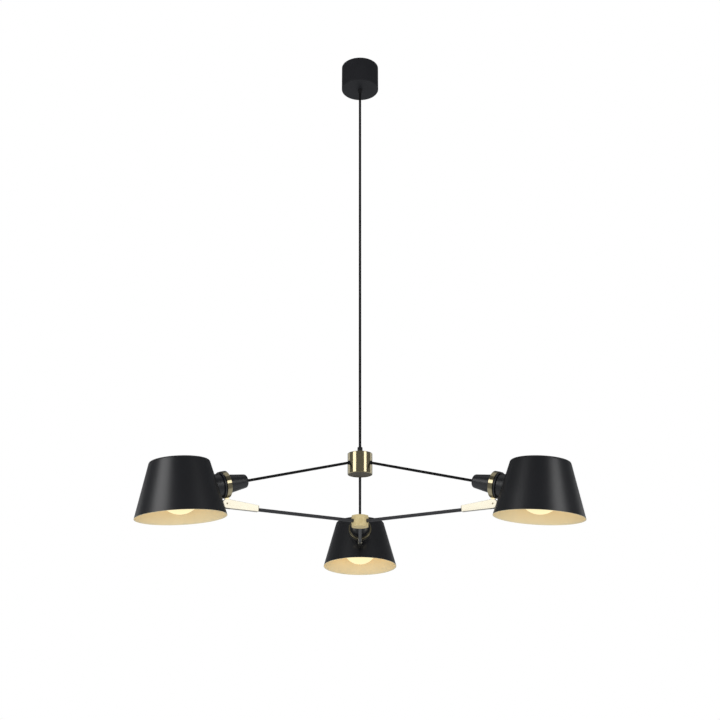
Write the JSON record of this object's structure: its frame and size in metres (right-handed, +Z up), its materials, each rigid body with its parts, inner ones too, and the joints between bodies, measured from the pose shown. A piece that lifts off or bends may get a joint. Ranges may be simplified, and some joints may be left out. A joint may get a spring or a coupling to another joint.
{
  "type": "pendant ceiling light",
  "caption": "Pendant ceiling light: black conical shades on brass clamp rings hang from a brass hub by taut cords, and rods round a lower hub spread them.",
  "frame": {"origin": "middle of the ceiling plate's upper face, at the ceiling", "axes": "+Z up to the ceiling, so the lamp hangs towards -Z; -Y towards the viewer of the picture, between the two front heads; the third head is on +Y"},
  "size_m": [0.972, 0.8686, 1.3097],
  "materials": {
    "black_paint": "satin black powder coat",
    "shade_paint": "satin black outside, cream lacquer inside",
    "cord_sheath": "matt black cable sheath",
    "black_nylon": "moulded black nylon",
    "antique_brass": "brushed antique brass",
    "pale_brass": "satin pale brass",
    "zinc_steel": "zinc plated",
    "ivory_plastic": "moulded ivory plastic",
    "frosted_glass": "frosted warm white",
    "bulb_metal": "rolled bright metal"
  },
  "bodies": {
    "canopy": {"ceiling_plate": "zinc_steel", "canopy_cup": "black_paint", "canopy_screws": "black_paint", "cord_grip": "black_nylon", "terminal_block": "ivory_plastic", "terminal_screws": "zinc_steel"},
    "pendant": {"main_cord": "cord_sheath", "hub_gland": "black_nylon", "hub_body": "antique_brass", "hub_base": "antique_brass", "hub_core": "ivory_plastic", "hub_screw": "antique_brass", "hub_bushes": "black_nylon", "lower_hub": "pale_brass", "lower_hub_screws": "zinc_steel", "bar_screws": "zinc_steel", "knuckle_pins": "antique_brass", "arm_cord_right": "cord_sheath", "rod_right": "black_paint", "bar_right": "antique_brass", "arm_cord_back": "cord_sheath", "rod_back": "black_paint", "bar_back": "antique_brass", "arm_cord_left": "cord_sheath", "rod_left": "black_paint", "bar_left": "antique_brass"},
    "yoke_right": {"clamp_ring_right": "antique_brass"},
    "head_right": {"neck_right": "black_paint", "cup_cone_right": "black_paint", "lampholder_right": "black_nylon", "contact_right": "bulb_metal", "shade_ring_right": "black_nylon", "shade_right": "shade_paint", "globe_right": "frosted_glass", "bulb_cap_right": "bulb_metal"},
    "yoke_back": {"clamp_ring_back": "antique_brass"},
    "head_back": {"neck_back": "black_paint", "cup_cone_back": "black_paint", "lampholder_back": "black_nylon", "contact_back": "bulb_metal", "shade_ring_back": "black_nylon", "shade_back": "shade_paint", "globe_back": "frosted_glass", "bulb_cap_back": "bulb_metal"},
    "yoke_left": {"clamp_ring_left": "antique_brass"},
    "head_left": {"neck_left": "black_paint", "cup_cone_left": "black_paint", "lampholder_left": "black_nylon", "contact_left": "bulb_metal", "shade_ring_left": "black_nylon", "shade_left": "shade_paint", "globe_left": "frosted_glass", "bulb_cap_left": "bulb_metal"}
  },
  "joints": [
    {"name": "pendant_turn", "type": "hinge", "parent": "canopy", "child": "pendant", "pos_m": [0, 0, -0.07], "axis": [0, 0, 1], "range_deg": [-90, 90], "stiffness_Nm_per_rad": 0.01},
    {"name": "head_tilt_right", "type": "hinge", "parent": "pendant", "child": "yoke_right", "pos_m": [0.29596, -0.17087, -1.25975], "axis": [-0.5, -0.866, 0], "range_deg": [0, 15], "deforming": ["arm_cord_right"]},
    {"name": "head_swivel_right", "type": "hinge", "parent": "yoke_right", "child": "head_right", "pos_m": [0.30224, -0.1745, -1.21747], "axis": [0.8325, -0.4806, -0.2756], "range_deg": [-60, 60]},
    {"name": "head_tilt_back", "type": "hinge", "parent": "pendant", "child": "yoke_back", "pos_m": [0, 0.34175, -1.25975], "axis": [1, 0, 0], "range_deg": [0, 15], "deforming": ["arm_cord_back"]},
    {"name": "head_swivel_back", "type": "hinge", "parent": "yoke_back", "child": "head_back", "pos_m": [0, 0.349, -1.21747], "axis": [0, 0.9613, -0.2756], "range_deg": [-60, 60]},
    {"name": "head_tilt_left", "type": "hinge", "parent": "pendant", "child": "yoke_left", "pos_m": [-0.29596, -0.17087, -1.25975], "axis": [-0.5, 0.866, 0], "range_deg": [0, 15], "deforming": ["arm_cord_left"]},
    {"name": "head_swivel_left", "type": "hinge", "parent": "yoke_left", "child": "head_left", "pos_m": [-0.30224, -0.1745, -1.21747], "axis": [-0.8325, -0.4806, -0.2756], "range_deg": [-60, 60]}
  ]
}
